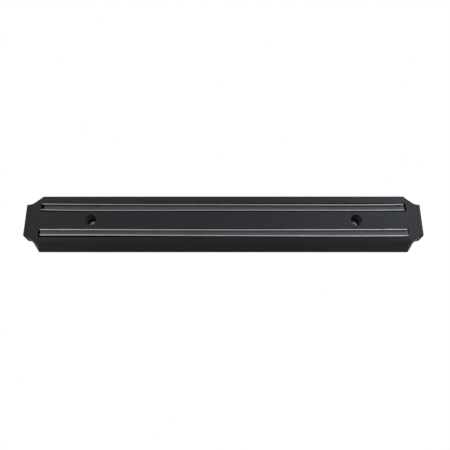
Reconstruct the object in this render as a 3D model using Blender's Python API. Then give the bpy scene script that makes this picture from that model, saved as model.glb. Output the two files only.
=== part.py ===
"""Wall-mounted magnetic knife rack with two magnet lines.

The housing is a black plastic moulding, hollow from behind and closed by a rear cover. Two long
slots run along its front. Behind each slot a channel holds a row of magnet blocks between two steel
pole strips, and the strips stand a little proud of the front, where a blade rests on them. Between
the two lines a counterbored screw hole at each end goes through a boss to the wall.

Metres. X runs along the rack, +Z is up, and the front faces -Y. The back lies in the plane y = 0,
with the origin at its centre. A depth is a distance in front of that plane.
"""

import math

import bmesh
import bpy

# Housing envelope. The walls lean inwards from the back to the front.
LENGTH_BACK = 0.3300
LENGTH_FRONT = 0.3291
HEIGHT_BACK = 0.0484
HEIGHT_FRONT = 0.0417
DEPTH = 0.0127

# End tabs: each corner of the housing is cut away by a slanted wall that runs out in a scallop.
TAB_HEIGHT_BACK = 0.0288
TAB_HEIGHT_FRONT = 0.0276
SLANT_BACK = math.radians(58.0)
SLANT_FRONT = math.radians(38.0)
SCALLOP_RADIUS_BACK = 0.0063
SCALLOP_RADIUS_FRONT = 0.0082
CORNER_RADIUS = 0.0018
TAB_CORNER_RADIUS = 0.0009

# Rounded edge between the walls and the front face: wide and shallow along the sides.
SIDE_EDGE_ROUND = 0.0050
END_EDGE_ROUND = 0.0008
EDGE_ROUND_DEPTH = 0.0010

# Moulded walls.
WALL = 0.0020
SKIN = 0.0020
CHANNEL_WALL = 0.0011
RIB = 0.0012
BAYS_BETWEEN_SCREWS = 5
WHOLE_BAYS = 3

# Magnet lines: distance of each line from the centre, and the strips and magnets in it.
LINE_OFFSET = 0.01115
STRIP_PITCH = 0.0049
STRIP_LENGTH = 0.3020
STRIP_THICKNESS = 0.0010
STRIP_WIDTH = 0.0100
STRIP_PROUD = 0.0008
MAGNETS_PER_LINE = 7
MAGNET_LENGTH = 0.04275
MAGNET_WIDTH = 0.0086
MAGNET_RECESS = 0.0006
SLOT_LENGTH = 0.3052
SLOT_HEIGHT = 0.0069

# How far each loose-fitting piece sits along X from the centre of its slot.
STRIP_SHIFT = {"upper_top": -0.0004, "upper_bottom": -0.0007, "lower_top": 0.0, "lower_bottom": 0.0005}
MAGNET_SHIFT = {"upper": 0.0005, "lower": 0.0006}

# Space left between neighbouring magnets of each line.
MAGNET_GAP = {"upper": 0.0003, "lower": 0.0006}

# Screw holes.
SCREW_SPACING = 0.2205
SCREW_HOLE_RADIUS = 0.0027
COUNTERBORE_RADIUS = 0.0046
SCREW_SEAT_DEPTH = 0.0025
BOSS_RADIUS = 0.0058

# Rear cover and the recess it sits in.
COVER_THICKNESS = 0.0016
COVER_INSET = 0.0015
COVER_RAIL_WIDTH = 0.0058
COVER_RAIL_LENGTH = 0.3010

# Fits.
GAP = 0.0003
MAGNET_EDGE = 0.0003
STRIP_EDGE = 0.00012
COVER_EDGE = 0.0003

# How finely curves are divided.
CORNER_STEPS = 5
SCALLOP_STEPS = 8
TAB_CORNER_STEPS = 2
EDGE_STEPS = 5
HOLE_STEPS = 48
OVERCUT = 0.0010

RECESS_DEPTH = COVER_THICKNESS + GAP
POCKET_DEPTH = DEPTH - SKIN
SLOT_HALF = SLOT_HEIGHT / 2.0
RIB_PITCH = SCREW_SPACING / BAYS_BETWEEN_SCREWS


# ---------------------------------------------------------------- outline of the housing

def between(back, front, depth):
    """Value at a depth, going evenly from the back of the housing to its front."""
    return back + (front - back) * depth / DEPTH


def arc(centre_x, centre_z, radius, start, end, steps):
    """Points of an arc. The angle is measured from +Z towards +X."""
    points = []
    for step in range(steps + 1):
        angle = start + (end - start) * step / steps
        points.append((centre_x + radius * math.sin(angle), centre_z + radius * math.cos(angle)))
    return points


def quarter_outline(depth, side_inset, end_inset):
    """Upper right quarter of the outline: rounded corner, slanted wall, scallop, tab corner."""
    half_height = between(HEIGHT_BACK, HEIGHT_FRONT, depth) / 2.0 - side_inset
    half_length = between(LENGTH_BACK, LENGTH_FRONT, depth) / 2.0 - end_inset
    tab_half = between(TAB_HEIGHT_BACK, TAB_HEIGHT_FRONT, depth) / 2.0 - end_inset
    slant = between(SLANT_BACK, SLANT_FRONT, depth)
    scallop = between(SCALLOP_RADIUS_BACK, SCALLOP_RADIUS_FRONT, depth) + end_inset
    corner = max(CORNER_RADIUS - end_inset, GAP)
    tab_corner = max(TAB_CORNER_RADIUS - end_inset, GAP / 2.0)

    scallop_x = half_length - tab_corner
    scallop_z = tab_half + scallop
    slant_end_x = scallop_x - scallop * math.sin(slant)
    slant_end_z = scallop_z - scallop * math.cos(slant)
    corner_z = half_height - corner
    slant_length = (corner_z + corner * math.cos(slant) - slant_end_z) / math.sin(slant)
    corner_x = slant_end_x - slant_length * math.cos(slant) - corner * math.sin(slant)

    points = arc(corner_x, corner_z, corner, 0.0, slant, CORNER_STEPS)
    points += arc(scallop_x, scallop_z, scallop, math.pi + slant, math.pi, SCALLOP_STEPS)
    points += arc(scallop_x, tab_half - tab_corner, tab_corner, 0.0, math.pi / 2.0, TAB_CORNER_STEPS)[1:]
    return points


def outline(depth, side_inset=0.0, end_inset=0.0):
    """Whole outline at a depth, as a closed loop of points."""
    quarter = quarter_outline(depth, side_inset, end_inset)
    loop = list(quarter)
    loop += [(x, -z) for x, z in reversed(quarter)]
    loop += [(-x, -z) for x, z in quarter]
    loop += [(-x, z) for x, z in reversed(quarter)]
    return [(x, -depth, z) for x, z in loop]


# ---------------------------------------------------------------- mesh helpers

def plastic(name, colour, roughness):
    """Moulded plastic."""
    material = bpy.data.materials.new(name)
    material.use_nodes = True
    shader = material.node_tree.nodes["Principled BSDF"]
    shader.inputs["Base Color"].default_value = (*colour, 1.0)
    shader.inputs["Roughness"].default_value = roughness
    return material


def metal(name, colour, roughness, metallic):
    """Bare steel, or the metal-like surface of a ferrite block."""
    material = plastic(name, colour, roughness)
    material.node_tree.nodes["Principled BSDF"].inputs["Metallic"].default_value = metallic
    return material


def place(name, mesh, material=None, location=(0.0, 0.0, 0.0)):
    """Put a mesh in the scene as a named object, with its faces pointing out."""
    work = bmesh.new()
    work.from_mesh(mesh)
    bmesh.ops.recalc_face_normals(work, faces=work.faces)
    work.to_mesh(mesh)
    work.free()
    piece = bpy.data.objects.new(name, mesh)
    piece.location = location
    bpy.context.scene.collection.objects.link(piece)
    if material:
        mesh.materials.append(material)
    return piece


def loft(name, loops):
    """Closed skin through loops that all have the same number of points."""
    work = bmesh.new()
    rings = [[work.verts.new(point) for point in loop] for loop in loops]
    count = len(rings[0])
    for near, far in zip(rings, rings[1:]):
        for index in range(count):
            after = (index + 1) % count
            work.faces.new((near[index], near[after], far[after], far[index]))
    work.faces.new(rings[0])
    work.faces.new(rings[-1])
    mesh = bpy.data.meshes.new(name)
    work.to_mesh(mesh)
    work.free()
    return mesh


def rectangle(x_low, x_high, z_low, z_high, depth):
    """Corners of an upright rectangle at a depth."""
    corners = [(x_low, z_low), (x_high, z_low), (x_high, z_high), (x_low, z_high)]
    return [(x, -depth, z) for x, z in corners]


def circle(centre_x, radius, depth):
    """Upright circle on the rack's centre line, at a depth."""
    return [(centre_x + x, -depth, z) for x, z in arc(0.0, 0.0, radius, 0.0, math.tau, HOLE_STEPS)[:-1]]


def join_meshes(name, meshes):
    """One mesh out of several separate closed shapes."""
    work = bmesh.new()
    for mesh in meshes:
        work.from_mesh(mesh)
    joined = bpy.data.meshes.new(name)
    work.to_mesh(joined)
    work.free()
    return joined


def cutter(name, meshes):
    """Guide shape that another piece is cut or joined with."""
    piece = place(name, join_meshes(name, meshes))
    piece.hide_render = True
    piece.display_type = "WIRE"
    return piece


def combine(piece, other, operation):
    """Boolean with a guide shape."""
    modifier = piece.modifiers.new(other.name, "BOOLEAN")
    modifier.object = other
    modifier.operation = operation
    modifier.solver = "EXACT"


def soften(piece, width):
    """Small chamfer on every edge."""
    modifier = piece.modifiers.new("edges", "BEVEL")
    modifier.width = width
    modifier.segments = 1
    modifier.limit_method = "ANGLE"


def smooth(mesh, degrees=35.0):
    """Smooth shading with the real edges kept sharp."""
    mesh.shade_smooth()
    mesh.set_sharp_from_angle(angle=math.radians(degrees))


# ---------------------------------------------------------------- front housing

def housing_body():
    """Outside of the housing, solid."""
    loops = [outline(0.0)]
    for step in range(EDGE_STEPS + 1):
        turn = math.pi / 2.0 * step / EDGE_STEPS
        inward = 1.0 - math.cos(turn)
        depth = DEPTH - EDGE_ROUND_DEPTH * (1.0 - math.sin(turn))
        loops.append(outline(depth, SIDE_EDGE_ROUND * inward, END_EDGE_ROUND * inward))
    mesh = loft("front_housing", loops)
    smooth(mesh)
    return mesh


def recess_cutter():
    """Recess round the back that the rear cover sits in."""
    return loft("recess", [
        [(x, OVERCUT, z) for x, _, z in outline(0.0, COVER_INSET, COVER_INSET)],
        [(x, -RECESS_DEPTH, z) for x, _, z in outline(0.0, COVER_INSET, COVER_INSET)],
    ])


def rib_bays():
    """Spans along X between the cross ribs, from the middle to the right end."""
    bays = []
    for index in range(WHOLE_BAYS):
        bays.append((index * RIB_PITCH + RIB / 2.0, (index + 1) * RIB_PITCH - RIB / 2.0))
    bays.append((WHOLE_BAYS * RIB_PITCH + RIB / 2.0, SLOT_LENGTH / 2.0 - WALL))
    return bays


def pocket(x_low, x_high, back_span, front_span):
    """Hollow behind the front skin. Each span is its lowest and highest Z at that depth."""
    return loft("pocket", [
        rectangle(x_low, x_high, *back_span, RECESS_DEPTH - OVERCUT),
        rectangle(x_low, x_high, *front_span, POCKET_DEPTH),
    ])


def pockets():
    """Hollows above, between and below the magnet channels, and one in each end tab."""
    channel_inner = LINE_OFFSET - SLOT_HALF - CHANNEL_WALL
    channel_outer = LINE_OFFSET + SLOT_HALF + CHANNEL_WALL
    wall_back = between(HEIGHT_BACK, HEIGHT_FRONT, RECESS_DEPTH - OVERCUT) / 2.0 - WALL
    wall_front = between(HEIGHT_BACK, HEIGHT_FRONT, POCKET_DEPTH) / 2.0 - WALL
    tab_span = (WALL - TAB_HEIGHT_FRONT / 2.0, TAB_HEIGHT_FRONT / 2.0 - WALL)
    tab_start = SLOT_LENGTH / 2.0 + CHANNEL_WALL
    tab_end = LENGTH_FRONT / 2.0 - WALL
    shapes = []
    for side in (1.0, -1.0):
        for near, far in rib_bays():
            low, high = sorted((side * near, side * far))
            shapes.append(pocket(low, high, (channel_outer, wall_back), (channel_outer, wall_front)))
            shapes.append(pocket(low, high, (-channel_inner, channel_inner), (-channel_inner, channel_inner)))
            shapes.append(pocket(low, high, (-wall_back, -channel_outer), (-wall_front, -channel_outer)))
        low, high = sorted((side * tab_start, side * tab_end))
        shapes.append(pocket(low, high, tab_span, tab_span))
    return shapes


def slots():
    """Channel for each magnet line, open from the back right through the front skin."""
    shapes = []
    for line in (LINE_OFFSET, -LINE_OFFSET):
        shapes.append(loft("slot", [
            rectangle(-SLOT_LENGTH / 2.0, SLOT_LENGTH / 2.0, line - SLOT_HALF, line + SLOT_HALF, depth)
            for depth in (-OVERCUT, DEPTH + OVERCUT)
        ]))
    return shapes


def bosses():
    """Tube round each screw hole, from the wall plane to the front skin."""
    shapes = []
    for side in (-1.0, 1.0):
        centre = side * SCREW_SPACING / 2.0
        shapes.append(loft("boss", [
            circle(centre, BOSS_RADIUS, 0.0),
            circle(centre, BOSS_RADIUS, DEPTH - SKIN / 2.0),
        ]))
    return shapes


def screw_holes():
    """Through hole with a deep counterbore from the front, which leaves a seat for the screw head."""
    shapes = []
    for side in (-1.0, 1.0):
        centre = side * SCREW_SPACING / 2.0
        shapes.append(loft("screw_hole", [
            circle(centre, SCREW_HOLE_RADIUS, -OVERCUT),
            circle(centre, SCREW_HOLE_RADIUS, SCREW_SEAT_DEPTH),
            circle(centre, COUNTERBORE_RADIUS, SCREW_SEAT_DEPTH),
            circle(centre, COUNTERBORE_RADIUS, DEPTH + OVERCUT),
        ]))
    return shapes


def build_front_housing(material):
    housing = place("front_housing", housing_body(), material)
    combine(housing, cutter("guide_recess", [recess_cutter()]), "DIFFERENCE")
    combine(housing, cutter("guide_pockets", pockets()), "DIFFERENCE")
    combine(housing, cutter("guide_slots", slots()), "DIFFERENCE")
    combine(housing, cutter("guide_bosses", bosses()), "UNION")
    combine(housing, cutter("guide_screw_holes", screw_holes()), "DIFFERENCE")
    return housing


# ---------------------------------------------------------------- rear cover

def build_rear_cover(material):
    """Plate that closes the back. Two rails on its inside carry the magnet lines."""
    inset = COVER_INSET + GAP
    edge = inset + COVER_EDGE
    front = outline(0.0, inset, inset)
    mesh = loft("rear_cover", [
        outline(0.0, edge, edge),
        [(x, -COVER_EDGE, z) for x, _, z in front],
        [(x, -COVER_THICKNESS, z) for x, _, z in front],
    ])
    smooth(mesh, 30.0)
    cover = place("rear_cover", mesh, material)

    rail_depth = DEPTH + STRIP_PROUD - STRIP_WIDTH - GAP
    rails = []
    for line in (LINE_OFFSET, -LINE_OFFSET):
        span = (line - COVER_RAIL_WIDTH / 2.0, line + COVER_RAIL_WIDTH / 2.0)
        rails.append(loft("rail", [
            rectangle(-COVER_RAIL_LENGTH / 2.0, COVER_RAIL_LENGTH / 2.0, *span, depth)
            for depth in (COVER_THICKNESS / 2.0, rail_depth)
        ]))
    combine(cover, cutter("guide_rails", rails), "UNION")

    openings = []
    for side in (-1.0, 1.0):
        centre = side * SCREW_SPACING / 2.0
        openings.append(loft("opening", [
            circle(centre, BOSS_RADIUS + GAP, -OVERCUT),
            circle(centre, BOSS_RADIUS + GAP, COVER_THICKNESS + OVERCUT),
        ]))
    combine(cover, cutter("guide_boss_openings", openings), "DIFFERENCE")
    return cover


# ---------------------------------------------------------------- magnet lines

def block(name, length, depth, height):
    """Plain bar centred on its own origin."""
    return loft(name, [
        rectangle(-length / 2.0, length / 2.0, -height / 2.0, height / 2.0, face)
        for face in (-depth / 2.0, depth / 2.0)
    ])


def build_pole_strips(material):
    """Steel strips on edge, two to a line, standing proud of the front."""
    mesh = block("pole_strip", STRIP_LENGTH, STRIP_WIDTH, STRIP_THICKNESS)
    mesh.materials.append(material)
    centre_y = -(DEPTH + STRIP_PROUD - STRIP_WIDTH / 2.0)
    for line_name, line in (("upper", LINE_OFFSET), ("lower", -LINE_OFFSET)):
        for edge_name, edge in (("top", 1.0), ("bottom", -1.0)):
            shift = STRIP_SHIFT[line_name + "_" + edge_name]
            centre = (shift, centre_y, line + edge * STRIP_PITCH / 2.0)
            strip = place(f"{line_name}_pole_strip_{edge_name}", mesh, None, centre)
            soften(strip, STRIP_EDGE)


def build_magnets(material):
    """Ferrite blocks end to end between the strips of each line."""
    height = STRIP_PITCH - STRIP_THICKNESS - 2.0 * GAP
    mesh = block("magnet", MAGNET_LENGTH, MAGNET_WIDTH, height)
    mesh.materials.append(material)
    centre_y = -(DEPTH - MAGNET_RECESS - MAGNET_WIDTH / 2.0)
    for line_name, line in (("upper", LINE_OFFSET), ("lower", -LINE_OFFSET)):
        pitch = MAGNET_LENGTH + MAGNET_GAP[line_name]
        for index in range(MAGNETS_PER_LINE):
            x = MAGNET_SHIFT[line_name] + (index - (MAGNETS_PER_LINE - 1) / 2.0) * pitch
            magnet = place(f"{line_name}_magnet_{index + 1}", mesh, None, (x, centre_y, line))
            soften(magnet, MAGNET_EDGE)


def main():
    for existing in list(bpy.data.objects):
        bpy.data.objects.remove(existing, do_unlink=True)

    housing_plastic = plastic("black_housing_plastic", (0.030, 0.031, 0.033), 0.45)
    cover_plastic = plastic("black_cover_plastic", (0.026, 0.026, 0.028), 0.55)
    strip_steel = metal("strip_steel", (0.55, 0.55, 0.57), 0.35, 1.0)
    ferrite = metal("ferrite", (0.070, 0.068, 0.072), 0.60, 0.3)

    build_front_housing(housing_plastic)
    build_rear_cover(cover_plastic)
    build_pole_strips(strip_steel)
    build_magnets(ferrite)


main()
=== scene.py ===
"""Looks of the magnetic knife rack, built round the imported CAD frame.

Every CAD node is replaced by a finer piece of nearly the same size in the same place: the housing and
cover get rounded lips and edges, the pole strips bow and twist a little as sheared strip does, and the
ferrite blocks get eased edges and one chip. Metres, in the frame of the CAD: X runs along the rack, +Z
is up, the front faces -Y and the back lies in the plane y = 0. A depth is a distance in front of it.
"""

import math

import bmesh
import bpy
from mathutils import Matrix, Vector, noise


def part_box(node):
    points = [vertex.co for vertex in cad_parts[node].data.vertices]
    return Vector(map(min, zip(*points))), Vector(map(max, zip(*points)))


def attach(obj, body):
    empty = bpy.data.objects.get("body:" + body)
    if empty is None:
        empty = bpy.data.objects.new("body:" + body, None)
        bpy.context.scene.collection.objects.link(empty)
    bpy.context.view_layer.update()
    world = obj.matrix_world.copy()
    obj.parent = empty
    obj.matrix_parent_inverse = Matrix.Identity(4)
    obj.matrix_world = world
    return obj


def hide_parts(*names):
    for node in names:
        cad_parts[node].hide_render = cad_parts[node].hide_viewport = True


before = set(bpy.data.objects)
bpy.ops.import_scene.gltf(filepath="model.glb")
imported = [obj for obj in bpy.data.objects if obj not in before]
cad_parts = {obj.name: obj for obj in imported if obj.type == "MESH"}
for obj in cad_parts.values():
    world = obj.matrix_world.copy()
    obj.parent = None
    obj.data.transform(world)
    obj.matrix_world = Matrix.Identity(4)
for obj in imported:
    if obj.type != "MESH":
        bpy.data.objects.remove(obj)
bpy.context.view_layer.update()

MM = 0.001

# ---------------------------------------------------------------- sizes taken from the frame

housing_low, housing_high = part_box("front_housing")
cover_low, cover_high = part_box("rear_cover")

LENGTH_BACK = housing_high.x - housing_low.x
HEIGHT_BACK = housing_high.z - housing_low.z
DEPTH = housing_high.y - housing_low.y
COVER_INSET = housing_high.x - cover_high.x
RAIL_TOP = -cover_low.y

# Distance of each magnet line from the rack's centre line.
LINE_OFFSET = (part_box("upper_pole_strip_top")[1].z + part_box("upper_pole_strip_bottom")[0].z) / 2.0

# Sizes that the frame's boxes don't show.
LENGTH_FRONT = LENGTH_BACK - 0.9 * MM
HEIGHT_FRONT = HEIGHT_BACK - 6.3 * MM
TAB_HEIGHT_BACK = 28.8 * MM
TAB_HEIGHT_FRONT = 27.6 * MM
SLANT_BACK = math.radians(58.0)
SLANT_FRONT = math.radians(38.0)
SCALLOP_RADIUS_BACK = 6.3 * MM
SCALLOP_RADIUS_FRONT = 8.2 * MM
CORNER_RADIUS = 1.8 * MM
CORNER_LEAST = 0.3 * MM
TAB_CORNER_RADIUS = 0.9 * MM
TAB_CORNER_LEAST = 0.15 * MM
SIDE_EDGE_ROUND = 5.0 * MM
END_EDGE_ROUND = 0.8 * MM
EDGE_ROUND_DEPTH = 1.0 * MM
BACK_EDGE_ROUND = 0.2 * MM
SKIN = 2.0 * MM
SLOT_LENGTH = 305.2 * MM
SLOT_HEIGHT = 6.9 * MM
SCREW_X = 110.25 * MM
SCREW_HOLE_RADIUS = 2.7 * MM
COUNTERBORE_RADIUS = 4.6 * MM
SCREW_SEAT_DEPTH = 2.5 * MM
BOSS_RADIUS = 5.8 * MM
CHANNEL_WALL = 1.1 * MM
RIB = 1.2 * MM
RIB_PITCH = 2.0 * SCREW_X / 5.0
FULL_BAYS = 3
COVER_THICKNESS = 1.6 * MM
COVER_EDGE_ROUND = 0.3 * MM
RECESS_DEPTH = 1.9 * MM
COVER_FIT = 0.15 * MM
RAIL_HALF_HEIGHT = 2.9 * MM
RAIL_LENGTH = 301.0 * MM

# Rounded lips round the openings.
SLOT_LIP = 0.25 * MM
SLOT_CORNER = 0.5 * MM
HOLE_LIP = 0.3 * MM
BOSS_LIP = 0.2 * MM

# How far a cutter reaches past what it cuts.
OVERCUT = 1.0 * MM

# Into how many steps each curve is divided.
CORNER_STEPS = 12
SCALLOP_STEPS = 20
TAB_CORNER_STEPS = 6
EDGE_STEPS = 12
LIP_STEPS = 4
ROUND_STEPS = 96

# ---------------------------------------------------------------- outlines


def between(back, front, depth):
    """Value at a depth, going evenly from the back of the housing to its front."""
    return back + (front - back) * depth / DEPTH


def arc(centre_x, centre_z, radius, start, end, steps):
    """Points of an arc. The angle is measured from +Z towards +X."""
    points = []
    for step in range(steps + 1):
        angle = start + (end - start) * step / steps
        points.append((centre_x + radius * math.sin(angle), centre_z + radius * math.cos(angle)))
    return points


def quarter_outline(depth, side_inset, end_inset):
    """Upper right quarter of the outline: rounded corner, slanted wall, scallop, tab corner."""
    half_height = between(HEIGHT_BACK, HEIGHT_FRONT, depth) / 2.0 - side_inset
    half_length = between(LENGTH_BACK, LENGTH_FRONT, depth) / 2.0 - end_inset
    tab_half = between(TAB_HEIGHT_BACK, TAB_HEIGHT_FRONT, depth) / 2.0 - end_inset
    slant = between(SLANT_BACK, SLANT_FRONT, depth)
    scallop = between(SCALLOP_RADIUS_BACK, SCALLOP_RADIUS_FRONT, depth) + end_inset
    corner = max(CORNER_RADIUS - end_inset, CORNER_LEAST)
    tab_corner = max(TAB_CORNER_RADIUS - end_inset, TAB_CORNER_LEAST)

    scallop_x = half_length - tab_corner
    scallop_z = tab_half + scallop
    slant_end_x = scallop_x - scallop * math.sin(slant)
    slant_end_z = scallop_z - scallop * math.cos(slant)
    corner_z = half_height - corner
    slant_length = (corner_z + corner * math.cos(slant) - slant_end_z) / math.sin(slant)
    corner_x = slant_end_x - slant_length * math.cos(slant) - corner * math.sin(slant)

    points = arc(corner_x, corner_z, corner, 0.0, slant, CORNER_STEPS)
    points += arc(scallop_x, scallop_z, scallop, math.pi + slant, math.pi, SCALLOP_STEPS)
    points += arc(scallop_x, tab_half - tab_corner, tab_corner, 0.0, math.pi / 2.0, TAB_CORNER_STEPS)[1:]
    return points


def outline(depth, side_inset=0.0, end_inset=0.0, at=None):
    """Whole outline of the housing at a depth, as a loop. With at, the loop is drawn at that depth."""
    quarter = quarter_outline(depth, side_inset, end_inset)
    loop = list(quarter)
    loop += [(x, -z) for x, z in reversed(quarter)]
    loop += [(-x, -z) for x, z in quarter]
    loop += [(-x, z) for x, z in reversed(quarter)]
    y = -depth if at is None else -at
    return [(x, y, z) for x, z in loop]


def rounded_rectangle(centre_z, half_x, half_z, radius, depth, grow=0.0):
    """Upright rectangle with round corners, centred on x = 0, grown outwards by an amount."""
    half_x += grow
    half_z += grow
    radius += grow
    points = []
    for x_sign, z_sign, start in ((1, 1, 0.0), (1, -1, 0.5), (-1, -1, 1.0), (-1, 1, 1.5)):
        corner_x = x_sign * (half_x - radius)
        corner_z = centre_z + z_sign * (half_z - radius)
        points += arc(corner_x, corner_z, radius, start * math.pi, (start + 0.5) * math.pi, LIP_STEPS)
    return [(x, -depth, z) for x, z in points]


def circle(centre_x, radius, depth, centre_z=0.0):
    """Upright circle at a depth."""
    return [(x, -depth, z) for x, z in arc(centre_x, centre_z, radius, 0.0, math.tau, ROUND_STEPS)[:-1]]


def rectangle(x_low, x_high, z_low, z_high, depth):
    """Corners of an upright rectangle at a depth."""
    corners = [(x_low, z_low), (x_high, z_low), (x_high, z_high), (x_low, z_high)]
    return [(x, -depth, z) for x, z in corners]


def smooth_through(values, share):
    """Value at a share of the way along values that stand closer together towards both ends."""
    place = math.acos(1.0 - 2.0 * min(max(share, 0.0), 1.0)) / math.pi * (len(values) - 1)
    index = min(int(place), len(values) - 2)
    before = values[max(index - 1, 0)]
    start, end = values[index], values[index + 1]
    after = values[min(index + 2, len(values) - 1)]
    t = place - index
    rise = (end - before) / 2.0
    fall = (after - start) / 2.0
    return (
        start * (2.0 * t**3 - 3.0 * t**2 + 1.0) + rise * (t**3 - 2.0 * t**2 + t)
        + end * (3.0 * t**2 - 2.0 * t**3) + fall * (t**3 - t**2)
    )


def quarter_turns(steps):
    """(how far in, how far along) of a quarter round, from its side to its top."""
    return [
        (1.0 - math.cos(math.pi / 2.0 * step / steps), math.sin(math.pi / 2.0 * step / steps))
        for step in range(steps + 1)
    ]


# ---------------------------------------------------------------- mesh helpers


def loft(name, loops):
    """Closed skin through loops that all have the same number of points."""
    work = bmesh.new()
    rings = [[work.verts.new(point) for point in loop] for loop in loops]
    count = len(rings[0])
    for near, far in zip(rings, rings[1:]):
        for index in range(count):
            after = (index + 1) % count
            work.faces.new((near[index], near[after], far[after], far[index]))
    work.faces.new(rings[0])
    work.faces.new(rings[-1])
    bmesh.ops.recalc_face_normals(work, faces=work.faces)
    mesh = bpy.data.meshes.new(name)
    work.to_mesh(mesh)
    work.free()
    return mesh


def join_meshes(name, meshes):
    """One mesh out of several separate closed shapes."""
    work = bmesh.new()
    for mesh in meshes:
        work.from_mesh(mesh)
    joined = bpy.data.meshes.new(name)
    work.to_mesh(joined)
    work.free()
    return joined


def add_object(name, mesh):
    thing = bpy.data.objects.new(name, mesh)
    bpy.context.scene.collection.objects.link(thing)
    return thing


def combine(target, meshes, operation):
    """Boolean of an object with a set of separate closed shapes, applied to its mesh."""
    other = add_object("guide", join_meshes("guide", meshes))
    modifier = target.modifiers.new("boolean", "BOOLEAN")
    modifier.object = other
    modifier.operation = operation
    modifier.solver = "EXACT"
    graph = bpy.context.evaluated_depsgraph_get()
    result = bpy.data.meshes.new_from_object(target.evaluated_get(graph))
    target.modifiers.clear()
    target.data = result
    bpy.data.objects.remove(other, do_unlink=True)


def cut_across(work, place):
    """Cut the faces that cross a place along the rack, so that they can bend there."""
    geometry = list(work.verts) + list(work.edges) + list(work.faces)
    bmesh.ops.bisect_plane(work, geom=geometry, plane_co=(place, 0.0, 0.0), plane_no=(1.0, 0.0, 0.0))


def shade(thing, degrees=30.0):
    """Smooth shading with the real edges kept sharp and the flat faces kept flat."""
    thing.data.shade_smooth()
    thing.data.set_sharp_from_angle(angle=math.radians(degrees))
    modifier = thing.modifiers.new("normals", "WEIGHTED_NORMAL")
    modifier.mode = "FACE_AREA"
    modifier.weight = 100
    modifier.keep_sharp = True


def finish_piece(thing, material, slot, *nodes):
    """Material, body and the CAD nodes that the piece stands for."""
    thing.data.materials.clear()
    thing.data.materials.append(material)
    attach(thing, "root")
    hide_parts(*nodes)


# ---------------------------------------------------------------- node material helpers


class Nodes:
    """Short way of writing the node tree of a new material, or of the world."""

    def __init__(self, name_or_world):
        self.material = name_or_world
        if isinstance(name_or_world, str):
            self.material = bpy.data.materials.new(name_or_world)
            self.material.use_nodes = True
        self.tree = self.material.node_tree

    def add(self, kind, **settings):
        node = self.tree.nodes.new(kind)
        for key, value in settings.items():
            if key in node.inputs:
                self.feed(node.inputs[key], value)
            else:
                setattr(node, key, value)
        return node

    def feed(self, socket, value):
        if isinstance(value, bpy.types.NodeSocket):
            self.tree.links.new(value, socket)
        else:
            socket.default_value = value

    def set(self, **inputs):
        shader = self.tree.nodes["Principled BSDF"]
        for key, value in inputs.items():
            self.feed(shader.inputs[key.replace("_", " ")], value)

    def math(self, operation, first, second=0.0):
        node = self.add("ShaderNodeMath", operation=operation)
        self.feed(node.inputs[0], first)
        self.feed(node.inputs[1], second)
        return node.outputs[0]

    def span(self, value, low, high, from_low=0.0, from_high=1.0):
        node = self.add("ShaderNodeMapRange", clamp=True)
        self.feed(node.inputs["Value"], value)
        self.feed(node.inputs["From Min"], from_low)
        self.feed(node.inputs["From Max"], from_high)
        self.feed(node.inputs["To Min"], low)
        self.feed(node.inputs["To Max"], high)
        return node.outputs["Result"]

    def mix(self, factor, first, second):
        node = self.add("ShaderNodeMix", data_type="RGBA")
        self.feed(node.inputs["Factor"], factor)
        self.feed(node.inputs[6], first)
        self.feed(node.inputs[7], second)
        return node.outputs[2]

    def position(self, scale=(1.0, 1.0, 1.0)):
        """Place in the row frame, stretched by a scale for each axis."""
        coordinates = self.add("ShaderNodeTexCoord")
        mapping = self.add("ShaderNodeMapping")
        self.feed(mapping.inputs["Scale"], scale)
        self.tree.links.new(coordinates.outputs["Object"], mapping.inputs["Vector"])
        return mapping.outputs["Vector"]

    def axes(self, vector):
        """The three parts of a vector."""
        node = self.add("ShaderNodeSeparateXYZ")
        self.feed(node.inputs[0], vector)
        return node.outputs

    def from_screws(self, place, outward=0.0, upward=0.0):
        """Distance from the nearer screw axis, or from a line beside it, further out and further up."""
        split = self.axes(place)
        side = self.math("SUBTRACT", self.math("ABSOLUTE", split["X"]), SCREW_X + outward)
        height = self.math("SUBTRACT", split["Z"], upward)
        squares = self.math("ADD", self.math("POWER", side, 2.0), self.math("POWER", height, 2.0))
        return self.math("SQRT", squares)

    def noise(self, vector, scale, detail=2.0, roughness=0.5):
        node = self.add("ShaderNodeTexNoise")
        self.feed(node.inputs["Vector"], vector)
        self.feed(node.inputs["Scale"], scale)
        self.feed(node.inputs["Detail"], detail)
        self.feed(node.inputs["Roughness"], roughness)
        return node.outputs["Fac"]

    def bump(self, height, distance, strength=1.0, normal=None):
        node = self.add("ShaderNodeBump")
        self.feed(node.inputs["Height"], height)
        self.feed(node.inputs["Distance"], distance)
        self.feed(node.inputs["Strength"], strength)
        if normal is not None:
            self.feed(node.inputs["Normal"], normal)
        return node.outputs["Normal"]


# Dust in the screw holes: its colour, how far behind the face it begins and is at its thickest, and
# how far past the hole's wall it fades out.
DUST = (0.105, 0.107, 0.112)
DUST_START = 2.5 * MM
DUST_FULL = 8.0 * MM
DUST_EDGE = 0.1 * MM

# How far in from an edge of the plastic the wear reaches, and how much paler it is there.
WEAR_REACH = 0.35 * MM
WEAR_PALER = 1.5


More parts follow.
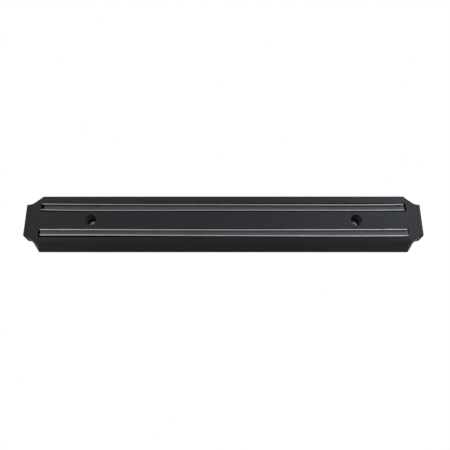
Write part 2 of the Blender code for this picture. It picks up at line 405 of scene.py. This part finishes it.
def moulded_plastic(name, dark, light, roughness_low, roughness_high, grain):
    """Black moulded plastic: eroded grain, flow marks, smears, worn edges and dust in the screw holes."""
    nodes = Nodes(name)
    place = nodes.position()
    fine = nodes.noise(place, 2600.0, 3.0, 0.6)
    flow = nodes.noise(nodes.position((1.0, 3.0, 6.0)), 14.0, 3.0, 0.55)
    smear = nodes.noise(nodes.position((1.0, 1.0, 2.5)), 45.0, 4.0, 0.6)
    edge_normal = nodes.add("ShaderNodeBevel", samples=4)
    nodes.feed(edge_normal.inputs["Radius"], WEAR_REACH)
    geometry = nodes.add("ShaderNodeNewGeometry")
    dot = nodes.add("ShaderNodeVectorMath", operation="DOT_PRODUCT")
    nodes.feed(dot.inputs[0], edge_normal.outputs["Normal"])
    nodes.feed(dot.inputs[1], geometry.outputs["Normal"])
    worn = nodes.span(dot.outputs["Value"], 1.0, 0.0, 0.86, 0.995)
    worn = nodes.math("MULTIPLY", worn, nodes.span(smear, 0.0, 0.5, 0.45, 0.75))
    body = nodes.mix(nodes.span(flow, 0.0, 1.0, 0.3, 0.7), (*dark, 1.0), (*light, 1.0))
    rubbed = tuple(WEAR_PALER * channel for channel in light)
    body = nodes.mix(worn, body, (*rubbed, 1.0))
    from_axis = nodes.from_screws(place)
    dust = nodes.span(from_axis, 1.0, 0.0, COUNTERBORE_RADIUS, COUNTERBORE_RADIUS + DUST_EDGE)
    dust = nodes.math("MULTIPLY", dust, nodes.span(fine, 0.6, 1.0, 0.3, 0.7))
    deeper = nodes.span(nodes.axes(place)["Y"], 0.0, 1.0, DUST_START - DEPTH, DUST_FULL - DEPTH)
    dust = nodes.math("MULTIPLY", dust, deeper)
    nodes.set(Base_Color=nodes.mix(dust, body, (*DUST, 1.0)))
    rough = nodes.span(smear, roughness_low, roughness_high, 0.3, 0.7)
    nodes.set(Roughness=nodes.math("ADD", rough, nodes.span(fine, -0.03, 0.03)))
    nodes.set(Specular_Tint=(0.94, 0.98, 1.04, 1.0))
    normal = nodes.bump(fine, grain)
    nodes.set(Normal=nodes.bump(flow, 0.05 * MM, 0.4, normal))
    return nodes.material


def strip_steel():
    """Bare sheared steel: drag lines, uneven shine and dull freckles, and a painted sheen that makes the
    lower row and the left end brighter.
    """
    nodes = Nodes("strip_steel")
    drag = nodes.noise(nodes.position((0.02, 1.0, 1.0)), 5200.0, 3.0, 0.65)
    patches = nodes.noise(nodes.position((1.0, 4.0, 4.0)), 38.0, 3.0, 0.6)
    freckles = nodes.noise(nodes.position(), 900.0, 2.0, 0.5)
    dull = nodes.span(freckles, 0.0, 1.0, 0.62, 0.74)
    place = nodes.axes(nodes.position())
    # Painted sheen: the steel's colour is brighter in the lower row than in the upper, and brighter
    # towards the left end, standing in for how the strips catch the light.
    upper = nodes.span(place["X"], 0.41, 0.31, 0.0, LENGTH_BACK / 2.0)
    lower = nodes.span(place["X"], 0.64, 0.40, -LENGTH_BACK / 2.0, LENGTH_BACK / 2.0)
    painted_sheen = nodes.mix(nodes.span(place["Z"], 0.0, 1.0, -MM, MM), lower, upper)
    bright = nodes.math("MULTIPLY", painted_sheen, nodes.span(drag, 1.0, 1.25, 0.35, 0.65))
    nodes.set(Base_Color=nodes.mix(dull, bright, (0.29, 0.28, 0.27, 1.0)))
    nodes.set(Metallic=1.0)
    rough = nodes.span(patches, 0.26, 0.46, 0.3, 0.7)
    nodes.set(Roughness=nodes.math("ADD", rough, nodes.span(dull, 0.0, 0.2)))
    nodes.set(Normal=nodes.bump(drag, 0.012 * MM))
    return nodes.material


def ferrite():
    """Sintered ferrite: dark grey, ground smooth, with fine speckle, pits painted dark as painted shade,
    and painted light that makes the lower row paler.
    """
    nodes = Nodes("ferrite")
    speckle = nodes.noise(nodes.position(), 3800.0, 3.0, 0.7)
    cloud = nodes.noise(nodes.position((1.0, 1.0, 3.0)), 60.0, 3.0, 0.6)
    pits_with_painted_shade = nodes.noise(nodes.position(), 1100.0, 2.0, 0.5)
    # Painted light: the lower row of blocks is painted paler than the upper row, on top of a tone that
    # differs at random.
    tone_and_painted_light = nodes.span(nodes.axes(nodes.position())["Z"], 0.25, -0.25, -MM, MM)
    tone_and_painted_light = nodes.math("ADD", nodes.span(cloud, 0.0, 1.0, 0.3, 0.7), tone_and_painted_light)
    body = nodes.mix(tone_and_painted_light, (0.085, 0.083, 0.086, 1.0), (0.125, 0.123, 0.127, 1.0))
    body = nodes.mix(nodes.span(speckle, 0.0, 0.35, 0.5, 0.8), body, (0.24, 0.24, 0.245, 1.0))
    # Painted shade: the pits are painted nearly black where the bump dents the surface.
    nodes.set(Base_Color=nodes.mix(nodes.span(pits_with_painted_shade, 0.7, 0.0, 0.22, 0.32), body, (0.02, 0.02, 0.02, 1.0)))
    nodes.set(Metallic=0.25)
    nodes.set(Roughness=nodes.span(cloud, 0.48, 0.62, 0.3, 0.7))
    normal = nodes.bump(speckle, 0.015 * MM)
    nodes.set(Normal=nodes.bump(pits_with_painted_shade, 0.03 * MM, 1.0, normal))
    return nodes.material


# ---------------------------------------------------------------- housing


def housing_body():
    """Outside of the housing, with a rounded front edge and an eased back edge."""
    loops = []
    for inward, along in reversed(quarter_turns(LIP_STEPS)):
        depth = BACK_EDGE_ROUND * (1.0 - along)
        loops.append(outline(depth, BACK_EDGE_ROUND * inward, BACK_EDGE_ROUND * inward))
    for inward, along in quarter_turns(EDGE_STEPS):
        depth = DEPTH - EDGE_ROUND_DEPTH * (1.0 - along)
        loops.append(outline(depth, SIDE_EDGE_ROUND * inward, END_EDGE_ROUND * inward))
    return loft("housing_moulding", loops)


# How far the lip outside each slot has sunk back at its outer edge, or has come forward where it is
# below zero, in millimetres: at the left end of the slot, near it, at the middle, near the right end
# and at that end.
LIP_SINK = {
    "upper": (-0.1, -0.3, -0.4, -0.4, -0.4),
    "lower": (0.0, 0.5, 1.4, 1.1, 1.0),
}

# How far the face comes forward at each end of the rack: the tabs are warped by that much.
TAB_WARP = 0.45 * MM

# Only what stands in front of this depth is warped.
WARP_START = DEPTH - EDGE_ROUND_DEPTH - 0.1 * MM
LIP_CUTS = 40
TAB_CUTS = 8


def warp_face(mesh):
    """Warp the long lips outside the slots and the tabs a little, as thin moulded edges do."""
    work = bmesh.new()
    work.from_mesh(mesh)
    half = SLOT_LENGTH / 2.0
    tab = LENGTH_BACK / 2.0 - half
    for cut in range(1, LIP_CUTS):
        cut_across(work, half * (2.0 * cut / LIP_CUTS - 1.0))
    for side in (-1.0, 1.0):
        for cut in range(TAB_CUTS):
            cut_across(work, side * (half + tab * (cut + 0.5) / TAB_CUTS))
    for vertex in work.verts:
        beyond = (abs(vertex.co.x) - half) / tab
        if beyond > 0.0 and -vertex.co.y > WARP_START:
            vertex.co.y -= TAB_WARP * beyond**2
    start = LINE_OFFSET + SLOT_HEIGHT / 2.0
    reach = HEIGHT_FRONT / 2.0 - start
    for vertex in work.verts:
        outside = abs(vertex.co.z) - start
        if outside <= 0.0 or abs(vertex.co.x) >= half or -vertex.co.y < WARP_START:
            continue
        side = "upper" if vertex.co.z > 0.0 else "lower"
        sink = smooth_through(LIP_SINK[side], (vertex.co.x + half) / (2.0 * half)) * MM
        vertex.co.y += sink * min(outside / reach, 1.0)
    work.to_mesh(mesh)
    work.free()


def recess_shape():
    """Recess round the back that the rear cover sits in."""
    inset = COVER_INSET - COVER_FIT
    ease = BACK_EDGE_ROUND / 2.0
    return loft("recess", [
        outline(0.0, inset - ease, inset - ease, at=-OVERCUT),
        outline(0.0, inset - ease, inset - ease, at=0.0),
        outline(0.0, inset, inset, at=ease),
        outline(0.0, inset, inset, at=RECESS_DEPTH),
    ])


def slot_shape(line):
    """Slot right through the front skin, with a rounded lip."""
    slot = (line, SLOT_LENGTH / 2.0, SLOT_HEIGHT / 2.0, SLOT_CORNER)
    loops = [rounded_rectangle(*slot, -OVERCUT)]
    for inward, along in quarter_turns(LIP_STEPS):
        loops.append(rounded_rectangle(*slot, DEPTH - SLOT_LIP * (1.0 - along), SLOT_LIP * inward))
    loops.append(rounded_rectangle(*slot, DEPTH + OVERCUT, SLOT_LIP))
    return loft("slot", loops)


def screw_hole_shape(centre):
    """Through hole and its counterbore, eased at the back, at the seat and at the front."""
    loops = [
        circle(centre, SCREW_HOLE_RADIUS + BOSS_LIP, -OVERCUT),
        circle(centre, SCREW_HOLE_RADIUS + BOSS_LIP, 0.0),
        circle(centre, SCREW_HOLE_RADIUS, BOSS_LIP),
        circle(centre, SCREW_HOLE_RADIUS, SCREW_SEAT_DEPTH - BOSS_LIP),
        circle(centre, SCREW_HOLE_RADIUS + BOSS_LIP, SCREW_SEAT_DEPTH),
        circle(centre, COUNTERBORE_RADIUS - BOSS_LIP, SCREW_SEAT_DEPTH),
        circle(centre, COUNTERBORE_RADIUS, SCREW_SEAT_DEPTH + BOSS_LIP),
    ]
    for inward, along in quarter_turns(LIP_STEPS):
        radius = COUNTERBORE_RADIUS + HOLE_LIP * inward
        loops.append(circle(centre, radius, DEPTH - HOLE_LIP * (1.0 - along)))
    loops.append(circle(centre, COUNTERBORE_RADIUS + HOLE_LIP, DEPTH + OVERCUT))
    return loft("screw_hole", loops)


def pocket_shapes():
    """Hollows behind the front skin, between the channel walls and the cross ribs."""
    inner = LINE_OFFSET - SLOT_HEIGHT / 2.0 - CHANNEL_WALL
    outer = LINE_OFFSET + SLOT_HEIGHT / 2.0 + CHANNEL_WALL
    near, far = RECESS_DEPTH - OVERCUT, DEPTH - SKIN
    wall_near = between(HEIGHT_BACK, HEIGHT_FRONT, near) / 2.0 - SKIN
    wall_far = between(HEIGHT_BACK, HEIGHT_FRONT, far) / 2.0 - SKIN
    bays = [
        (index * RIB_PITCH + RIB / 2.0, (index + 1) * RIB_PITCH - RIB / 2.0)
        for index in range(FULL_BAYS)
    ]
    bays.append((FULL_BAYS * RIB_PITCH + RIB / 2.0, SLOT_LENGTH / 2.0 - SKIN))
    tab = TAB_HEIGHT_FRONT / 2.0 - SKIN
    tab_start = SLOT_LENGTH / 2.0 + CHANNEL_WALL
    tab_end = LENGTH_FRONT / 2.0 - SKIN
    shapes = []
    for side in (1.0, -1.0):
        for start, end in bays:
            low, high = sorted((side * start, side * end))
            for near_span, far_span in (
                ((outer, wall_near), (outer, wall_far)),
                ((-inner, inner), (-inner, inner)),
                ((-wall_near, -outer), (-wall_far, -outer)),
            ):
                shapes.append(loft("pocket", [
                    rectangle(low, high, *near_span, near), rectangle(low, high, *far_span, far)]))
        low, high = sorted((side * tab_start, side * tab_end))
        shapes.append(loft("pocket", [
            rectangle(low, high, -tab, tab, near), rectangle(low, high, -tab, tab, far)]))
    return shapes


def boss_shape(centre):
    """Tube round a screw hole, from the wall plane to the front skin."""
    return loft("boss", [
        circle(centre, BOSS_RADIUS - BOSS_LIP, 0.0),
        circle(centre, BOSS_RADIUS, BOSS_LIP),
        circle(centre, BOSS_RADIUS, DEPTH - SKIN / 2.0),
    ])


def build_housing(material):
    housing = add_object("housing_moulding", housing_body())
    combine(housing, [recess_shape()], "DIFFERENCE")
    combine(housing, pocket_shapes(), "DIFFERENCE")
    combine(housing, [slot_shape(line) for line in (LINE_OFFSET, -LINE_OFFSET)], "DIFFERENCE")
    combine(housing, [boss_shape(centre) for centre in (-SCREW_X, SCREW_X)], "UNION")
    combine(housing, [screw_hole_shape(centre) for centre in (-SCREW_X, SCREW_X)], "DIFFERENCE")
    warp_face(housing.data)
    shade(housing)
    finish_piece(housing, material, "housing_plastic", "front_housing")


# ---------------------------------------------------------------- rear cover


# Marks that moulding leaves on the back of the cover: round dents of ejector pins, and a gate in a
# dimple. The columns and rows of the dents are in millimetres.
EJECTOR_COLUMNS = (-140.0, -75.0, -25.0, 25.0, 75.0, 140.0)
EJECTOR_ROWS = (-17.2, 17.2)
EJECTOR_RADIUS = 2.0 * MM
EJECTOR_DEPTH = 0.15 * MM
GATE_RADIUS = 2.6 * MM
GATE_STUB_RADIUS = 0.7 * MM
GATE_STUB_TAPER = 0.9
GATE_DEPTH = 0.4 * MM


def moulding_marks():
    """Cutters for the dents of the ejector pins and for the ring round the gate's stub."""
    marks = [
        loft("ejector", [
            circle(column * MM, EJECTOR_RADIUS, depth, row * MM) for depth in (-OVERCUT, EJECTOR_DEPTH)])
        for column in EJECTOR_COLUMNS for row in EJECTOR_ROWS
    ]
    marks.append(loft("gate", [
        circle(0.0, GATE_RADIUS, -OVERCUT),
        circle(0.0, GATE_RADIUS, GATE_DEPTH / 4.0),
        circle(0.0, GATE_RADIUS - GATE_DEPTH, GATE_DEPTH),
        circle(0.0, GATE_STUB_RADIUS, GATE_DEPTH),
        circle(0.0, GATE_STUB_RADIUS * GATE_STUB_TAPER, GATE_DEPTH / 4.0),
    ]))
    return marks


def build_cover(material):
    """Back plate with its two rails, its openings for the bosses and its moulding marks."""
    loops = []
    for inward, along in reversed(quarter_turns(LIP_STEPS)):
        inset = COVER_INSET + COVER_EDGE_ROUND * inward
        loops.append(outline(0.0, inset, inset, at=COVER_EDGE_ROUND * (1.0 - along)))
    loops.append(outline(0.0, COVER_INSET, COVER_INSET, at=COVER_THICKNESS))
    cover = add_object("cover_moulding", loft("cover_moulding", loops))

    rails = []
    for line in (LINE_OFFSET, -LINE_OFFSET):
        sides = (-RAIL_LENGTH / 2.0, RAIL_LENGTH / 2.0, line - RAIL_HALF_HEIGHT, line + RAIL_HALF_HEIGHT)
        rails.append(loft("rail", [
            rectangle(*sides, COVER_THICKNESS / 2.0), rectangle(*sides, RAIL_TOP)]))
    combine(cover, rails, "UNION")

    opening = BOSS_RADIUS + COVER_FIT
    openings = [
        loft("opening", [
            circle(centre, opening + BOSS_LIP, -OVERCUT),
            circle(centre, opening + BOSS_LIP, 0.0),
            circle(centre, opening, BOSS_LIP),
            circle(centre, opening, COVER_THICKNESS + OVERCUT),
        ])
        for centre in (-SCREW_X, SCREW_X)
    ]
    combine(cover, openings, "DIFFERENCE")
    combine(cover, moulding_marks(), "DIFFERENCE")
    shade(cover)
    finish_piece(cover, material, "cover_plastic", "rear_cover")


# ---------------------------------------------------------------- pole strips and magnets

# Sideways bow of each strip in its slot, in millimetres: at its left end, near it, at the middle, near
# its right end and at that end.
STRIP_BOW = {
    "upper_top": (0.5, 0.0, -0.2, -0.4, 0.1),
    "upper_bottom": (0.4, -0.4, -0.2, -0.3, 0.1),
    "lower_top": (0.2, 0.1, -0.1, 0.1, 0.3),
    "lower_bottom": (0.4, 0.4, -0.1, -0.4, -0.1),
}

# How much further each strip reaches than its node, at its left end and at its right, in millimetres.
STRIP_REACH = {
    "upper_top": (0.0, 0.0),
    "upper_bottom": (0.5, 0.4),
    "lower_top": (0.2, 0.35),
    "lower_bottom": (0.0, 0.2),
}

STRIP_STATIONS = 160
STRIP_CORNER = 0.14 * MM
STRIP_CORNER_STEPS = 2
STRIP_END_EASE = 0.08 * MM
STRIP_END_SKEW = 0.12 * MM
STRIP_TWIST = math.radians(1.6)
STRIP_WAVE = 0.06 * MM

# Share of the twist that moves the front and back edges of a strip up and down.
TWIST_SHARE = 0.25


def bow(name, x):
    """Sideways offset of a strip at a place along the rack."""
    half = SLOT_LENGTH / 2.0
    return smooth_through(STRIP_BOW[name], (x + half) / (2.0 * half)) * MM


def strip_section(half_depth, half_height, radius):
    """Rounded section of a strip, as (depth, height) offsets from its middle."""
    points = []
    for depth_sign, z_sign, start in ((1, 1, 0.0), (1, -1, 0.5), (-1, -1, 1.0), (-1, 1, 1.5)):
        corner = (depth_sign * (half_depth - radius), z_sign * (half_height - radius))
        turn = (start * math.pi, (start + 0.5) * math.pi)
        points += arc(*corner, radius, *turn, STRIP_CORNER_STEPS)
    return points


def build_strip(name, seed, material):
    """Sheared strip with a slight bow and twist, and eased, slightly skewed ends."""
    row, side = name.split("_")
    node = f"{row}_pole_strip_{side}"
    low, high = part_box(node)
    centre = (low + high) / 2.0
    half = (high - low) / 2.0
    start = low.x - STRIP_REACH[name][0] * MM
    end = high.x + STRIP_REACH[name][1] * MM
    loops = []
    for station in range(STRIP_STATIONS + 1):
        share = station / STRIP_STATIONS
        x = start + (end - start) * share
        shrink = STRIP_END_EASE if station in (0, STRIP_STATIONS) else 0.0
        twist = STRIP_TWIST * noise.noise(Vector((x * 16.0, seed, 0.0)))
        wave = STRIP_WAVE * noise.noise(Vector((x * 30.0, seed, 5.0)))
        skew = STRIP_END_SKEW * noise.noise(Vector((seed, share * 3.0, 2.0)))
        near_end = abs(share - 0.5) > 0.49
        loop = []
        for depth, height in strip_section(half.y - shrink, half.z - shrink, STRIP_CORNER):
            turned_depth = depth * math.cos(twist) - height * math.sin(twist)
            turned_height = depth * math.sin(twist) * TWIST_SHARE + height * math.cos(twist)
            loop.append((
                x + skew * depth / half.y * near_end,
                centre.y + turned_depth + wave,
                centre.z + bow(name, x) + turned_height,
            ))
        loops.append(loop)
    strip = add_object("strip_" + name, loft("strip_" + name, loops))
    shade(strip, degrees=40.0)
    finish_piece(strip, material, "strip_steel", node)


# Ends of each row of blocks, and the joint between the first two blocks of the upper row, which has
# lost a chip.
ROW_ENDS = {"upper": (-150.0 * MM, 151.3 * MM), "lower": (-150.9 * MM, 152.5 * MM)}
BLOCKS = 7
BLOCK_HEIGHT = 3.86 * MM
BLOCK_GAP = 0.06 * MM
BLOCK_EDGE = 0.15 * MM
BLOCK_CUTS = 24
BLOCK_WOBBLE = 0.04 * MM
CHIP_BLOCK = ("upper", 2)
CHIP_INWARD = 0.7
CHIP_WIDTH = 1.3 * MM
CHIP_HEIGHT = 1.05 * MM
CHIP_DEPTH = 2.0 * MM


def build_magnet(line_name, index, material):
    """Ferrite block with eased, slightly uneven edges, filling the space between its strips."""
    node = f"{line_name}_magnet_{index}"
    low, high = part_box(node)
    row_start, row_end = ROW_ENDS[line_name]
    pitch = (row_end - row_start) / BLOCKS
    centre = (low + high) / 2.0
    centre.x = row_start + (index - 0.5) * pitch
    size = high - low
    size.z = BLOCK_HEIGHT
    size.x = pitch - BLOCK_GAP
    work = bmesh.new()
    bmesh.ops.create_cube(work, size=1.0, matrix=Matrix.Diagonal((size.x, size.y, size.z, 1.0)))
    bmesh.ops.bevel(
        work, geom=list(work.edges), offset=BLOCK_EDGE, segments=2, profile=0.5, affect="EDGES")
    for cut in range(1, BLOCK_CUTS):
        cut_across(work, size.x * (cut / BLOCK_CUTS - 0.5))
    seed = index * 3.7 + (20.0 if line_name == "upper" else 0.0)
    for vertex in work.verts:
        x = vertex.co.x + centre.x
        middle = (bow(line_name + "_top", x) + bow(line_name + "_bottom", x)) / 2.0
        place = Vector((vertex.co.x * 220.0, vertex.co.y * 500.0 + seed, vertex.co.z * 500.0))
        wobble = BLOCK_WOBBLE * noise.noise(place)
        vertex.co = vertex.co + centre + Vector((0.0, wobble, middle))
    bmesh.ops.recalc_face_normals(work, faces=work.faces)
    mesh = bpy.data.meshes.new(f"ferrite_{line_name}_{index}")
    work.to_mesh(mesh)
    work.free()
    magnet = add_object(mesh.name, mesh)
    if (line_name, index) == CHIP_BLOCK:
        chip_x = centre.x - size.x / 2.0 + CHIP_INWARD * CHIP_WIDTH
        corner = Vector((chip_x, low.y, centre.z + size.z / 2.0))
        combine(magnet, [chip_shape(corner)], "DIFFERENCE")
    shade(magnet, degrees=40.0)
    finish_piece(magnet, material, "ferrite", node)


def chip_shape(corner):
    """Rough lump that a chip leaves behind, at the front upper corner of a block."""
    work = bmesh.new()
    bmesh.ops.create_icosphere(work, subdivisions=2, radius=1.0)
    for vertex in work.verts:
        rough = 1.0 + 0.25 * noise.noise(vertex.co * 2.3)
        x, y, z = vertex.co
        vertex.co = Vector((x * CHIP_WIDTH * rough, y * CHIP_DEPTH * rough, z * CHIP_HEIGHT * rough))
        vertex.co += corner
    mesh = bpy.data.meshes.new("chip")
    work.to_mesh(mesh)
    work.free()
    return mesh


# ---------------------------------------------------------------- stage, light and camera

# Viewing angle, distance and lens: a little below the rack, looking up at its front.
VIEW_BELOW = math.radians(18.76)
VIEW_DISTANCE = 0.420
LENS = 39.36
SENSOR = 36.0
SHIFT_RIGHT = 0.00358

# How bright the surroundings are where they light the rack: low down in front, low down on each side
# and a little above it. How much brighter they are on its right, and how much darker low down round
# the viewer, overhead, and below and behind the rack. A height is the sine of an elevation.
AROUND_BELOW = 0.30
AROUND_BESIDE = 0.50
AROUND_ABOVE = 0.59
AROUND_RIGHT = 0.10
VIEWER_SHADE = 0.22
OVERHEAD = 0.28
BEHIND_BELOW = 0.15
LOWEST_HEIGHT = -0.05
HIGHEST_HEIGHT = 0.3
BESIDE_START = 0.4
BESIDE_END = 0.8
VIEWER_SHADE_FULL = -0.99
VIEWER_SHADE_END = -0.85
OVERHEAD_START = 0.4
OVERHEAD_END = 0.9
BEHIND_BELOW_FULL = -0.5
AROUND_COLOUR = (0.99, 0.98, 1.01)

# Soft boxes: place, size, brightness of the glowing face and colour.
SOFT_BOXES = {
    "key_softbox": ((0.50, -1.10, 0.34), (0.5, 0.35), 0.85, (0.94, 1.0, 1.09)),
    "right_softbox": ((1.02, -0.59, 0.55), (0.8, 0.6), 3.60, (0.92, 0.99, 1.10)),
    "left_softbox": ((-1.02, -0.59, 0.55), (0.8, 0.6), 1.00, (1.0, 1.0, 1.0)),
    "top_softbox": ((0.44, -0.94, 0.94), (0.8, 0.5), 0.25, (0.96, 1.0, 1.05)),
    "back_softbox": ((-0.50, 1.30, 0.80), (1.2, 1.0), 3.00, (1.0, 1.0, 1.0)),
}


# The wall is in shade behind each screw hole, fully up to the first distance from the screw axis and
# not at all past the second. A spot of light falls in that shade, further out and up than the axis.
HOLE_SHADE = 0.05
HOLE_SHADE_START = 5.0 * MM
HOLE_SHADE_END = 6.0 * MM
SPOT_PLACE = (1.35 * MM, 1.9 * MM)
SPOT_BRIGHTNESS = 0.28
SPOT_START = 0.4 * MM
SPOT_END = 1.1 * MM

# The wall keeps light from behind it out of the screw holes, up to these distances from their axes.
DARK_BEHIND_START = 3.0 * MM
DARK_BEHIND_END = 3.2 * MM

# Places of the floor and the wall, and how far they reach.
FLOOR_HEIGHT = -0.30
WALL_GAP = 0.4 * MM
STAGE_REACH = 3.0


def see_through_back(nodes, surface, lets_light_in=0.0):
    """Give a material a surface that is seen from its front only, and lets a share of light through."""
    clear = nodes.add("ShaderNodeBsdfTransparent")
    seen = nodes.add("ShaderNodeMixShader")
    shadow_ray = nodes.add("ShaderNodeLightPath").outputs["Is Shadow Ray"]
    light = nodes.math("MULTIPLY", shadow_ray, lets_light_in)
    behind = nodes.add("ShaderNodeNewGeometry").outputs["Backfacing"]
    nodes.feed(seen.inputs[0], nodes.math("MAXIMUM", behind, light))
    nodes.feed(seen.inputs[1], surface)
    nodes.feed(seen.inputs[2], clear.outputs[0])
    nodes.feed(nodes.tree.nodes["Material Output"].inputs["Surface"], seen.outputs[0])


def backdrop_material():
    """White wall, seen from its front only, with a shade and a spot of light behind each screw hole."""
    nodes = Nodes("backdrop_white")
    place = nodes.position()
    from_axis = nodes.from_screws(place)
    from_spot = nodes.from_screws(place, *SPOT_PLACE)
    lit_wall = nodes.span(from_axis, HOLE_SHADE, 1.0, HOLE_SHADE_START, HOLE_SHADE_END)
    spot = nodes.span(from_spot, SPOT_BRIGHTNESS, 0.0, SPOT_START, SPOT_END)
    glow = nodes.add("ShaderNodeEmission")
    nodes.feed(glow.inputs["Strength"], nodes.math("MAXIMUM", lit_wall, spot))
    past_hole = nodes.span(from_axis, 0.0, 1.0, DARK_BEHIND_START, DARK_BEHIND_END)
    see_through_back(nodes, glow.outputs[0], past_hole)
    return nodes.material


def floor_material():
    """Plain pale matt floor with a trace of unevenness."""
    nodes = Nodes("pale_floor")
    tone = nodes.noise(nodes.position(), 9.0, 3.0)
    nodes.set(Base_Color=nodes.mix(tone, (0.34, 0.34, 0.34, 1.0), (0.38, 0.38, 0.38, 1.0)))
    nodes.set(Roughness=0.9, Emission_Color=(1.0, 1.0, 1.0, 1.0), Emission_Strength=0.62)
    see_through_back(nodes, nodes.tree.nodes["Principled BSDF"].outputs[0])
    return nodes.material


def plane(name, corners, material):
    mesh = bpy.data.meshes.new(name)
    mesh.from_pydata(corners, [], [(0, 1, 2, 3)])
    mesh.materials.append(material)
    thing = add_object(name, mesh)
    return thing


def build_stage():
    """Floor below the rack and wall behind it. Neither is seen in the rack's shine or lights it."""
    left, right = -STAGE_REACH, STAGE_REACH
    floor = plane("floor", [
        (left, -STAGE_REACH, FLOOR_HEIGHT), (right, -STAGE_REACH, FLOOR_HEIGHT),
        (right, STAGE_REACH, FLOOR_HEIGHT), (left, STAGE_REACH, FLOOR_HEIGHT),
    ], floor_material())
    floor.visible_diffuse = False
    floor.visible_glossy = False
    wall = plane("backdrop_wall", [
        (left, WALL_GAP, FLOOR_HEIGHT), (right, WALL_GAP, FLOOR_HEIGHT),
        (right, WALL_GAP, STAGE_REACH), (left, WALL_GAP, STAGE_REACH),
    ], backdrop_material())
    wall.visible_diffuse = False
    wall.visible_glossy = False
    wall.visible_transmission = False


def build_lights():
    for name, (place, (wide, high), brightness, colour) in SOFT_BOXES.items():
        light = bpy.data.lights.new(name, "AREA")
        light.shape = "RECTANGLE"
        light.size = wide
        light.size_y = high
        light.energy = brightness * math.pi * wide * high
        light.color = colour
        lamp = add_object(name, light)
        lamp.location = place
        lamp.rotation_euler = (-Vector(place)).to_track_quat("-Z", "Y").to_euler()


def build_world():
    """Pale surroundings: white where the camera sees them, dimmer where they light the rack."""
    world = bpy.data.worlds.new("studio")
    bpy.context.scene.world = world
    world.use_nodes = True
    nodes = Nodes(world)
    coordinates = nodes.add("ShaderNodeTexCoord")
    axes = nodes.axes(coordinates.outputs["Generated"])
    sideways = nodes.math("ABSOLUTE", axes["X"])
    low = nodes.span(sideways, AROUND_BELOW, AROUND_BESIDE, BESIDE_START, BESIDE_END)
    viewer_shade = nodes.span(axes["Y"], VIEWER_SHADE, 0.0, VIEWER_SHADE_FULL, VIEWER_SHADE_END)
    low = nodes.math("SUBTRACT", low, viewer_shade)
    height = nodes.span(axes["Z"], low, AROUND_ABOVE, LOWEST_HEIGHT, HIGHEST_HEIGHT)
    right = nodes.span(axes["X"], 0.0, AROUND_RIGHT)
    below = nodes.math("MULTIPLY", nodes.math("MAXIMUM", axes["Y"], 0.0), axes["Z"])
    darker = nodes.math(
        "ADD", nodes.span(below, 0.0, BEHIND_BELOW, 0.0, BEHIND_BELOW_FULL),
        nodes.span(axes["Z"], 0.0, OVERHEAD, OVERHEAD_START, OVERHEAD_END))
    around = nodes.math("SUBTRACT", nodes.math("ADD", height, right), darker)
    seen = nodes.add("ShaderNodeLightPath").outputs["Is Camera Ray"]
    background = nodes.tree.nodes["Background"]
    nodes.feed(background.inputs["Color"], nodes.mix(seen, (*AROUND_COLOUR, 1.0), (1.0, 1.0, 1.0, 1.0)))
    nodes.feed(background.inputs["Strength"], nodes.math("MAXIMUM", seen, around))


def build_camera():
    camera = bpy.data.cameras.new("camera")
    camera.lens = LENS
    camera.sensor_width = SENSOR
    camera.shift_x = SHIFT_RIGHT
    camera.clip_start = 0.01
    camera.clip_end = 20.0
    viewer = add_object("camera", camera)
    direction = Vector((0.0, -math.cos(VIEW_BELOW), -math.sin(VIEW_BELOW)))
    viewer.location = direction * VIEW_DISTANCE
    viewer.rotation_euler = (-direction).to_track_quat("-Z", "Y").to_euler()
    bpy.context.scene.camera = viewer


def main():
    scene = bpy.context.scene
    scene.view_settings.view_transform = "Standard"
    housing_plastic = moulded_plastic(
        "housing_plastic", (0.011, 0.0115, 0.012), (0.014, 0.0145, 0.0155), 0.40, 0.50, 0.010 * MM)
    cover_plastic = moulded_plastic(
        "cover_plastic", (0.012, 0.012, 0.013), (0.015, 0.015, 0.016), 0.50, 0.60, 0.016 * MM)
    steel = strip_steel()
    magnet_ferrite = ferrite()

    build_housing(housing_plastic)
    build_cover(cover_plastic)
    for seed, name in enumerate(STRIP_BOW):
        build_strip(name, 3.1 * seed + 1.0, steel)
    for line_name in ("upper", "lower"):
        for index in range(1, BLOCKS + 1):
            build_magnet(line_name, index, magnet_ferrite)

    build_stage()
    build_world()
    build_lights()
    build_camera()


main()
